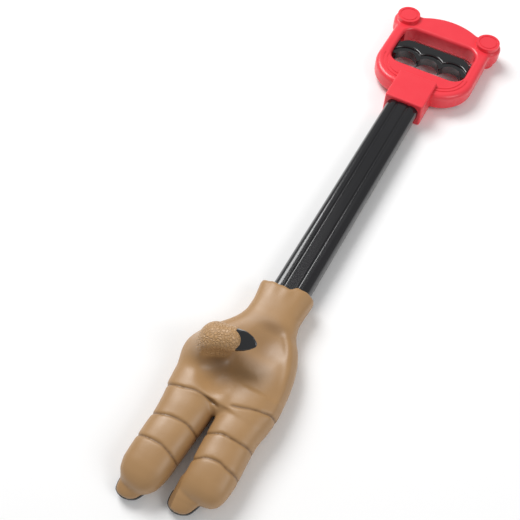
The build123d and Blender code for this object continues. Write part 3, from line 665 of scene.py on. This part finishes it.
@dataclass(frozen=True)
class Hollow:
    """A round hollow pressed in the palm: the ball that makes it, and how soft its edge is."""

    middle: tuple[float, float, float]
    radius: float
    edge: float


@dataclass(frozen=True)
class Limb:
    """A round limb that tapers between two balls, and the fillet where it meets the hand."""

    start: tuple[float, float, float]
    end: tuple[float, float, float]
    radii: tuple[float, float]
    fillet: float


@dataclass
class Glove:
    """The soft vinyl claw hand: palm with its cuff, two fingers and the thumb, moulded in one."""

    block: Block = field(default_factory=lambda: Block((-50.0, -434.0, -3.0), (46.0, -226.0, 64.0), 0.85))
    knuckle_y: float = -344.0
    bend_reach: float = 20.0
    split_y: float = -322.0
    thumb_split_z: float = 31.0
    thumb_bend_z: tuple[float, float] = (32.0, 43.0)
    finger_middles: tuple[float, float] = (-21.0, 18.0)
    bend_z: float = 9.5
    thumb_middle: tuple[float, float] = (-29.0, -312.0)

    palm_power: float = 2.7
    finger_power: float = 2.45
    bed_power: float = 2.1
    bed_fillet: float = 3.5
    finger_fillet: float = 3.4
    palm_hollows: tuple[Hollow, ...] = (
        Hollow((3.0, -303.0, 93.2), 70.0, 7.0),
        Hollow((9.0, -288.0, 42.5), 20.5, 6.0),
    )
    thumb_hollow: Hollow = Hollow((-12.0, -329.0, 38.0), 14.0, 6.0)
    web: Limb = Limb((0.0, -336.0, 14.0), (1.2, -342.6, 18.4), (9.0, 8.8), 3.0)

    thumb_root: tuple[float, float, float] = (-31.5, -313.5, 15.0)
    thumb_knuckle: tuple[float, float, float] = (-22.0, -309.0, 41.0)
    thumb_tip: tuple[float, float, float] = (-12.0, -306.0, 45.6)
    thumb_radii: tuple[float, float, float] = (14.8, 12.2, 9.8)
    thumb_fold: float = 3.0
    thumb_fillet: float = 9.0

    palm: tuple[Section, ...] = (
        Section(-345.5, -41.5, 37.4, 14.0, 13.8),
        Section(-338.0, -43.0, 39.2, 14.0, 13.9),
        Section(-331.0, -43.8, 40.0, 14.0, 14.0),
        Section(-316.0, -44.8, 39.4, 14.0, 14.0),
        Section(-302.0, -43.0, 37.4, 13.9, 13.9),
        Section(-290.0, -37.5, 34.3, 13.6, 13.5),
        Section(-280.0, -29.5, 29.8, 13.3, 13.1),
        Section(-272.0, -24.5, 24.4, 13.0, 12.8),
        Section(-264.0, -22.2, 21.0, 12.8, 12.5),
        Section(-256.0, -22.0, 19.6, 12.6, 12.3),
        Section(-248.0, -22.9, 19.8, 12.6, 12.3),
        Section(-240.0, -24.0, 20.4, 12.7, 12.5),
        Section(-230.0, -24.8, 21.0, 12.8, 12.6),
    )
    left_finger: tuple[Section, ...] = (
        Section(-422.6, -22.4, -22.0, 12.2, 0.1),
        Section(-421.3, -29.0, -15.4, 12.4, 4.2),
        Section(-418.2, -34.4, -11.0, 12.8, 7.6),
        Section(-413.0, -38.2, -7.8, 13.3, 10.2),
        Section(-405.0, -40.0, -5.8, 13.7, 12.2),
        Section(-391.0, -39.8, -4.5, 14.0, 13.3),
        Section(-372.0, -39.2, -3.0, 14.0, 13.5),
        Section(-358.0, -39.8, -1.8, 14.0, 13.8),
        Section(-344.0, -42.0, -1.4, 14.0, 13.9),
        Section(-326.0, -42.0, -2.0, 14.0, 13.0),
    )
    right_finger: tuple[Section, ...] = (
        Section(-409.4, 18.2, 20.6, 12.2, 0.1),
        Section(-408.2, 10.6, 28.4, 12.4, 4.2),
        Section(-405.6, 6.0, 32.8, 12.8, 7.4),
        Section(-401.2, 3.8, 35.4, 13.3, 10.0),
        Section(-394.4, 3.0, 36.8, 13.7, 12.0),
        Section(-385.0, 2.8, 37.4, 14.0, 13.2),
        Section(-372.0, 2.0, 36.9, 14.0, 13.5),
        Section(-358.0, 1.6, 36.6, 14.0, 13.8),
        Section(-344.0, 1.6, 38.2, 14.0, 13.9),
        Section(-326.0, 2.0, 38.0, 14.0, 13.0),
    )
    creases: tuple[Crease, ...] = (
        Crease((-48.0, -38.8, -27.6, -16.8, -5.4, 3.0), (-350.5, -348.7, -347.2, -345.1, -345.9, -348.0)),
        Crease((-48.0, -30.7, -21.0, -13.1, -3.9, 3.0), (-374.0, -371.0, -369.1, -368.8, -370.6, -372.0)),
        Crease((-48.0, -30.4, -20.4, -12.6, -5.1, 3.0), (-391.0, -389.7, -389.5, -391.2, -393.6, -395.0)),
        Crease((7.0, 11.9, 23.7, 30.6, 37.6, 48.0), (-343.0, -342.0, -338.2, -336.3, -334.7, -334.0)),
        Crease((-1.0, 5.8, 15.5, 26.1, 35.4, 48.0), (-367.0, -365.8, -363.2, -363.3, -362.8, -363.0)),
        Crease((-1.0, 5.3, 12.4, 22.0, 29.4, 48.0), (-387.0, -385.9, -382.6, -381.2, -382.8, -384.0)),
    )
    # Patches of painted shadow on the palm, the strongest under the thumb where its shadow falls.
    painted_shadows: tuple[PaintedShadow, ...] = (
        PaintedShadow(-18.0, -316.5, 14.0, 8.0, 0.7),
        PaintedShadow(1.0, -317.0, 15.0, 8.5, 0.34),
        PaintedShadow(8.0, -291.0, 15.0, 12.0, 0.32),
        PaintedShadow(6.0, -273.5, 14.0, 5.5, 0.42),
        PaintedShadow(0.0, -306.0, 22.0, 12.0, 0.28),
    )
    rim: tuple[tuple[float, float, float], ...] = (
        (18.0, -276.0, 23.0), (26.0, -287.0, 24.0), (32.0, -300.0, 24.6), (35.6, -313.0, 24.8),
        (37.0, -326.0, 24.6), (36.4, -336.0, 24.2),
    )
    left_bed: tuple[float, float] = (-428.8, -24.8)
    right_bed: tuple[float, float] = (-420.4, 11.6)
    # A fleshy claw from its tip back: how far back, its shift in X, its middle's height, its two half sizes.
    bed_rows: tuple[tuple[float, ...], ...] = (
        (0.0, -2.8, 7.4, 0.3, 0.3), (0.9, -2.6, 7.6, 4.6, 1.6), (3.2, -2.0, 8.2, 7.7, 2.8),
        (7.5, -1.0, 9.2, 9.4, 4.3), (12.5, 0.0, 10.4, 10.2, 5.8), (22.0, 0.6, 11.8, 10.8, 7.2),
    )
    rim_height: float = 1.1
    rim_reach: float = 3.0
    rim_wire: float = 0.5

    crease_depth: float = 1.15
    # How strongly painted shade darkens the creases.
    crease_shade_strength: float = 0.75
    crease_end: float = 4.0
    crease_z: tuple[float, float] = (7.0, 16.0)
    swell_ys: tuple[float, ...] = (-357.5, -379.5)
    swell_height: float = 0.3
    swell_reach: float = 6.5
    swell_z: tuple[float, float] = (8.0, 24.0)
    flute_pitch: float = 11.0
    flute_height: float = 0.2
    flute_y: tuple[float, float] = (-256.0, -238.0)
    flute_z: tuple[float, float] = (14.0, 22.0)
    lip_y: float = -237.6
    lip_step: float = 4.0
    lip_step_x: tuple[float, float] = (1.0, 6.5)
    lip_wave: float = 0.35
    lip_wave_pitch: float = 9.0
    lip_edge: float = 3.4
    channel_half_width: float = 15.7
    channel_z: float = 12.0
    channel_half_height: float = 9.2
    channel_y: tuple[float, float] = (-262.0, -220.0)
    channel_power: float = 5.0
    channel_edge: float = 0.8
    floor_gap: float = 0.15

    # Heights over which the painted shadow on the palm fades out.
    shadow_fade_z: tuple[float, float] = (30.0, 36.0)
    # Where and how strongly painted shadow darkens the gap between the fingers.
    gap_half_width: float = 5.0
    gap_start_y: float = -343.0
    gap_z: tuple[float, float] = (12.0, 22.0)
    gap_shadow_strength: float = 0.5
    scale_start_z: float = 30.0
    thumb_scale_slope: float = 0.35
    thumb_scale_z: tuple[float, float] = (24.0, 28.5)
    back_scale_z: tuple[float, float] = (4.0, 8.0)
    relax_rounds: int = 3
    relax_share: float = 0.45

    def nail_bed(self, way: int) -> list[Section]:
        """Sections of the fleshy claw at a fingertip: way is -1 for the left finger and 1 for the right."""
        tip_y, x = self.left_bed if way < 0 else self.right_bed
        return [
            Section(tip_y + run, x + shift - wide, x + shift + wide, middle, half)
            for run, shift, middle, wide, half in self.bed_rows
        ]

    def crease_share(self, x: Array, y: Array, z: Array) -> Array:
        """How near each place is to a crease, from nought to one, on the palm side and round the sides."""
        share = np.zeros(np.broadcast(x, y, z).shape, np.float32)
        for crease in self.creases:
            line = eased(x, crease.xs, crease.ys)
            near = np.exp(-(((y - line) / crease.half_width) ** 2))
            first, last = crease.xs[0], crease.xs[-1]
            ends = ramp(x, first, first + self.crease_end) * ramp(-x, -last, self.crease_end - last)
            share = np.maximum(share, near * ends * ramp(z, *self.crease_z))
        return share

    def palm_body(self) -> Array:
        """The palm with its hollows and the raised rim along its outer edge, as a distance."""
        b = self.block
        hand = b.along(self.palm, self.palm_power)
        for hollow in self.palm_hollows:
            hand = carved(hand, b.ball(hollow.middle, hollow.radius), hollow.edge)
        wire = (self.rim_wire, self.rim_wire)
        rim = np.min(np.stack([b.taper(p, q, wire) for p, q in zip(self.rim, self.rim[1:])]), axis=0)
        return hand - self.rim_height * np.exp(-((rim / self.rim_reach) ** 2))

    def thumb_body(self) -> Array:
        """The bent thumb, as a distance."""
        root, knuckle, tip = self.thumb_radii
        return joined(
            self.block.taper(self.thumb_root, self.thumb_knuckle, (root, knuckle)),
            self.block.taper(self.thumb_knuckle, self.thumb_tip, (knuckle, tip)),
            self.thumb_fold,
        )

    def swells(self) -> Array:
        """How far the fingers swell between their creases."""
        b = self.block
        puff = sum(
            np.exp(-(((b.y - y) / self.swell_reach) ** 2)) * ramp(b.z, *self.swell_z) for y in self.swell_ys
        )
        return self.swell_height * puff

    def flutes(self) -> Array:
        """How far the cuff swells over the tube's flutes."""
        b = self.block
        wave = np.cos((b.x - self.flute_pitch) * (2 * math.pi / self.flute_pitch))
        return self.flute_height * wave * ramp(b.y, *self.flute_y) * ramp(b.z, *self.flute_z)

    def cuff_cut(self, hand: Array) -> Array:
        """Cut the cuff's wavy lip, and the channel that the tube runs in.

        Args:
            hand: the hand as a distance.

        Returns:
            The hand, open at the cuff.
        """
        b = self.block
        step = self.lip_step * ramp(b.x, *self.lip_step_x)
        wave = self.lip_wave * np.cos(b.x * (2 * math.pi / self.lip_wave_pitch))
        hand = carved(hand, self.lip_y + step - wave - b.y, self.lip_edge)
        half, middle, tall = self.channel_half_width, self.channel_z, self.channel_half_height
        channel = [Section(y, -half, half, middle, tall) for y in self.channel_y]
        return carved(hand, b.along(channel, self.channel_power), self.channel_edge)

    def body(self) -> Array:
        """The whole glove as a distance.

        Returns:
            The distance at each corner of the block.
        """
        b = self.block
        hand = self.palm_body()
        for way, sections in ((-1, self.left_finger), (1, self.right_finger)):
            finger = b.along(sections, self.finger_power)
            finger = joined(finger, b.along(self.nail_bed(way), self.bed_power), self.bed_fillet)
            hand = joined(hand, finger, self.finger_fillet)
        hand = joined(hand, b.taper(self.web.start, self.web.end, self.web.radii), self.web.fillet)
        hand = joined(hand, self.thumb_body(), self.thumb_fillet)
        hollow = self.thumb_hollow
        hand = carved(hand, b.ball(hollow.middle, hollow.radius), hollow.edge)
        hand = hand + self.crease_depth * self.crease_share(b.x, b.y, b.z)
        hand = hand - self.swells()
        hand = hand - self.flutes()
        return np.maximum(self.cuff_cut(hand), self.floor_gap - b.z)

    def masks(self, points: Array, normals: Array) -> dict[str, Array]:
        """How far each point takes painted shade, painted crease shade and scales, from nought to one.

        Args:
            points: the mesh's points.
            normals: its normals.

        Returns:
            The shares by name.
        """
        x, y, z = points.T
        # Painted shadow in patches on the palm, faded out above it.
        hollow = np.zeros_like(x)
        for shadow_patch in self.painted_shadows:
            away = ((x - shadow_patch.x) / shadow_patch.wide) ** 2 + ((y - shadow_patch.y) / shadow_patch.long) ** 2
            hollow = np.maximum(hollow, shadow_patch.strength * np.exp(-away))
        fade_low, fade_high = self.shadow_fade_z
        # Painted shadow in the gap between the fingers.
        gap_low, gap_high = self.gap_z
        between = (abs(x) < self.gap_half_width) & (y < self.gap_start_y)
        gap = self.gap_shadow_strength * ramp(-z, -gap_high, -gap_low) * between
        hollow = np.maximum(hollow * ramp(-z, -fade_high, -fade_low), gap)
        back_low, back_high = self.back_scale_z
        on_thumb = ramp(z + self.thumb_scale_slope * x, *self.thumb_scale_z) * (z > self.scale_start_z)
        on_back = ramp(-normals[:, 2], 0.1, 0.6) * ramp(-z, -back_high, -back_low)
        return {
            "hollow": hollow * ramp(normals[:, 2], -0.2, 0.5),
            "crease": self.crease_shade_strength * self.crease_share(x, y, z),
            "scaly": np.maximum(on_thumb, on_back),
        }

    def build(self) -> None:
        """Mesh the glove, split it where its digits turn, tie the palm to the grabber and bake the digits'
        pieces in place.
        """
        points, quads = self.block.skin(self.body())
        points = relaxed(points.astype(float), quads, self.relax_rounds, self.relax_share)
        normals = point_normals(points, quads)
        masks = self.masks(points, normals)
        middle = points[quads].mean(1)
        thumb = middle[:, 2] > self.thumb_split_z
        fingers = (middle[:, 1] < self.split_y) & ~thumb
        left = fingers & (middle[:, 0] < 0)
        right = fingers & ~left
        vinyl = BROWN_VINYL.build()
        pieces = []
        for name, chosen, node in (
            ("palm_glove", ~(thumb | fingers), "palm_skin"),
            ("left_finger_glove", left, "left_finger_skin"),
            ("right_finger_glove", right, "right_finger_skin"),
            ("thumb_glove", thumb, "thumb_skin"),
        ):
            piece = make_object(name, points, quads[chosen], normals, masks, vinyl)
            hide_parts(node)
            pieces.append(piece)
            log.info("%s: %d faces", name, int(chosen.sum()))
        self.tie(*pieces)

    def tie(
        self, palm: bpy.types.Object, left: bpy.types.Object, right: bpy.types.Object,
        thumb: bpy.types.Object,
    ) -> None:
        """Tie the palm to the grabber, and bake the digits' pieces in place.

        Args:
            palm: the palm with its cuff.
            left: the left finger.
            right: the right finger.
            thumb: the thumb.
        """
        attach(palm, "grabber")
        for piece, body, across in zip((left, right), ("left_finger", "right_finger"), self.finger_middles):
            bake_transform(piece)
        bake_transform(thumb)


@dataclass
class Nails:
    """The three black claws: a blunt shell under each fingertip, and a hooked one on the thumb."""

    lacquer: bpy.types.Material
    overlap: float = 0.95
    drop: float = 1.9
    thickness: float = 0.82       # the shell's height in shares of the flesh's
    tip_reach: float = 0.5
    shell_power: float = 2.2
    shell_edge: float = 0.6
    flesh_lap: float = 0.4
    step: float = 0.5
    relax_rounds: int = 3
    relax_share: float = 0.4

    hook_way: tuple[float, float, float] = (0.9, 0.2, 0.3)
    hook_drop: tuple[float, float, float] = (0.15, -0.35, -0.35)
    # The hook from its root on: how far out, its radius, how far it has dropped.
    hook_stops: tuple[tuple[float, float, float], ...] = (
        (5.0, 8.2, 0.0), (9.4, 7.3, 0.4), (13.6, 5.6, 1.6), (17.8, 3.2, 3.6), (21.4, 0.8, 6.6),
    )
    hook_fold: float = 0.8
    facet_way: tuple[float, float, float] = (0.25, -0.45, 0.86)
    facet_reach: float = 6.6
    facet_edge: float = 1.2
    margin: float = 10.0
    finger_margin: tuple[float, float, float] = (4.0, 2.5, 3.0)
    finger_bed_rows: int = 5
    finger_block_z: tuple[float, float] = (-1.0, 20.0)

    def finger(self, glove: Glove, way: int, name: str) -> bpy.types.Object:
        """Make the nail under one fingertip.

        Args:
            glove: the glove that it belongs to.
            way: -1 for the left finger, 1 for the right.
            name: the piece's name.

        Returns:
            The nail.
        """
        bed = glove.nail_bed(way)[:self.finger_bed_rows]
        shell = [
            Section(
                s.y - (self.tip_reach if i == 0 else 0.0), s.left - self.overlap, s.right + self.overlap,
                s.middle - self.drop, s.half * self.thickness,
            )
            for i, s in enumerate(bed)
        ]
        side, front, back = self.finger_margin
        floor, top = self.finger_block_z
        low = (bed[-1].left - side, bed[0].y - front, floor)
        high = (bed[-1].right + side, bed[-1].y + back, top)
        block = Block(low, high, self.step)
        flesh = eased(block.y, [s.y for s in bed], [s.middle for s in bed]) - self.flesh_lap - block.z
        nail = carved(block.along(shell, self.shell_power), flesh.astype(np.float32), self.shell_edge)
        return self.finish(block, nail, name)

    def thumb(self, glove: Glove, name: str) -> bpy.types.Object:
        """Make the thumb's hooked claw.

        Args:
            glove: the glove that it belongs to.
            name: the piece's name.

        Returns:
            The claw.
        """
        tip = np.asarray(glove.thumb_tip)
        way = np.asarray(self.hook_way)
        drop = np.asarray(self.hook_drop)
        radii = [radius for _, radius, _ in self.hook_stops]
        spots = [tip + way * run + drop * fall for run, _, fall in self.hook_stops]
        low = tuple(np.min(spots, axis=0) - self.margin)
        high = tuple(np.max(spots, axis=0) + self.margin)
        block = Block(low, high, self.step)
        claw = block.taper(spots[0], spots[1], (radii[0], radii[1]))
        for i in range(1, len(spots) - 1):
            claw = joined(claw, block.taper(spots[i], spots[i + 1], (radii[i], radii[i + 1])), self.hook_fold)
        x, y, z = self.facet_way
        facet = (block.x - tip[0]) * x + (block.y - tip[1]) * y + (block.z - tip[2]) * z - self.facet_reach
        return self.finish(block, carved(claw, -facet, self.facet_edge), name)

    def finish(self, block: Block, body: Array, name: str) -> bpy.types.Object:
        """Mesh a claw and give it its lacquer.

        Args:
            block: the space it was shaped in.
            body: the claw as a distance.
            name: the piece's name.

        Returns:
            The claw.
        """
        points, quads = block.skin(body)
        points = relaxed(points.astype(float), quads, self.relax_rounds, self.relax_share)
        piece = make_object(name, points, quads, point_normals(points, quads), {}, self.lacquer)
        log.info("%s: %d faces", name, len(quads))
        return piece

    def build(self, glove: Glove) -> None:
        """Make the three claws and tie each to its digit.

        Args:
            glove: the glove that they belong to.
        """
        for piece, body, node in (
            (self.finger(glove, -1, "left_nail"), "left_finger", "left_claw"),
            (self.finger(glove, 1, "right_nail"), "right_finger", "right_claw"),
            (self.thumb(glove, "thumb_nail"), "thumb", "thumb_claw"),
        ):
            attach(piece, body)
            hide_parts(node)


# ---------------------------------------------------------------- the rigid pieces
@dataclass
class RigidPieces:
    """The pieces whose CAD shape is already right; each gets its real finish."""

    finishes: dict[str, Finish] = field(
        default_factory=lambda: {
            "red_plastic": RED_ABS,
            "black_plastic": BLACK_ABS,
            "tube_black": TUBE_STYRENE,
            "white_nylon": WHITE_NYLON,
            "zinc_steel": ZINC_STEEL,
            "spring_steel": DRAWN_STEEL,
        }
    )
    nodes: dict[str, tuple[str, ...]] = field(
        default_factory=lambda: {
            "red_plastic": ("handle_front_shell", "handle_back_shell"),
            "black_plastic": ("trigger",),
            "tube_black": ("tube",),
            "white_nylon": (
                "palm_skeleton", "carriage", "carriage_cover", "left_finger_core", "right_finger_core",
                "thumb_core",
            ),
            "zinc_steel": (
                "handle_screws", "tube_pins", "cover_screws", "knuckle_axle", "thumb_axle", "wire_anchor",
                "finger_drive_pin", "thumb_drive_pin",
            ),
            "spring_steel": ("pull_wire", "return_spring"),
        }
    )

    def dress(self, frame_nodes: dict[str, bpy.types.Object]) -> None:
        """Give each rigid piece its finish, and copy the return spring to a piece of its own.

        Args:
            frame_nodes: the CAD nodes by name.
        """
        for key, finish in self.finishes.items():
            material = finish.build()
            for name in self.nodes[key]:
                for slot in frame_nodes[name].material_slots:
                    slot.material = material
                log.info("%s: %s", name, material.name)
        self.coil(frame_nodes["return_spring"])

    def coil(self, spring: bpy.types.Object) -> None:
        """Copy the return spring's mesh to a piece of its own, in place of the CAD node.

        Args:
            spring: the CAD node of the spring.
        """
        mesh = spring.data.copy()
        mesh.transform(spring.matrix_world)
        piece = bpy.data.objects.new("return_coil", mesh)
        bpy.context.scene.collection.objects.link(piece)
        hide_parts("return_spring")
        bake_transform(piece)


# ---------------------------------------------------------------- studio
@dataclass
class Studio:
    """The pale floor, the soft lights and the camera."""

    camera_at: tuple[float, float, float] = (118.0, -505.0, 530.5)
    right: tuple[float, float, float] = (0.8763, 0.4817, 0.0054)
    up: tuple[float, float, float] = (-0.4110, 0.7418, 0.5298)
    forward: tuple[float, float, float] = (-0.2512, 0.4665, -0.8481)
    lens: float = 52.6
    sensor: float = 36.0
    floor_size: float = 6.0
    air_strength: float = 0.36
    lit_spot: tuple[float, float, float] = (0.0, -0.18, 0.0)
    # Each lamp's name, place, side and power.
    lamps: tuple[tuple[str, tuple[float, float, float], float, float], ...] = (
        ("key_softbox", (-0.85, 0.26, 1.15), 0.8, 19.0),
        ("fill_softbox", (1.0, -0.35, 0.9), 0.7, 5.0),
    )

    def camera(self) -> None:
        """Place the camera that looks down on the grabber from beyond its fingers."""
        data = bpy.data.cameras.new("studio_camera")
        data.lens = self.lens
        data.sensor_width = self.sensor
        data.clip_start = 0.01
        camera = bpy.data.objects.new("studio_camera", data)
        turn = Matrix((self.right, self.up, tuple(-v for v in self.forward))).transposed()
        camera.matrix_world = Matrix.Translation(Vector(self.camera_at) * MM) @ turn.to_4x4()
        bpy.context.scene.collection.objects.link(camera)
        bpy.context.scene.camera = camera

    def floor(self) -> None:
        """Lay the pale floor under the grabber."""
        half = self.floor_size / 2
        mesh = bpy.data.meshes.new("studio_floor")
        corners = [(-half, -half, 0), (half, -half, 0), (half, half, 0), (-half, half, 0)]
        mesh.from_pydata(corners, [], [(0, 1, 2, 3)])
        material = bpy.data.materials.new("floor_paper")
        material.use_nodes = True
        shader = material.node_tree.nodes["Principled BSDF"]
        shader.inputs["Base Color"].default_value = linear("#FAFAFA")
        shader.inputs["Roughness"].default_value = 0.9
        mesh.materials.append(material)
        floor = bpy.data.objects.new("studio_floor", mesh)
        bpy.context.scene.collection.objects.link(floor)

    def lights(self) -> None:
        """Hang the soft lights."""
        world = bpy.data.worlds.new("studio_air")
        world.use_nodes = True
        background = world.node_tree.nodes["Background"]
        background.inputs["Color"].default_value = linear("#FFFFFF")
        background.inputs["Strength"].default_value = self.air_strength
        bpy.context.scene.world = world
        bpy.context.scene.view_settings.view_transform = "Standard"
        for name, at, size, power in self.lamps:
            data = bpy.data.lights.new(name, "AREA")
            data.shape = "SQUARE"
            data.size = size
            data.energy = power
            lamp = bpy.data.objects.new(name, data)
            lamp.location = at
            lamp.rotation_mode = "QUATERNION"
            lamp.rotation_quaternion = (Vector(self.lit_spot) - Vector(at)).to_track_quat("-Z", "Y")
            bpy.context.scene.collection.objects.link(lamp)

    def build(self) -> None:
        """Build the camera, the floor and the lights."""
        self.camera()
        self.floor()
        self.lights()


def main() -> None:
    """Build the grabber round the frame, piece by piece."""
    logging.basicConfig(level=logging.INFO, format="%(message)s")
    Studio().build()
    RigidPieces().dress(frame["nodes"])
    glove = Glove()
    glove.build()
    Nails(BLACK_LACQUER.build()).build(glove)


if __name__ == "__main__":
    main()
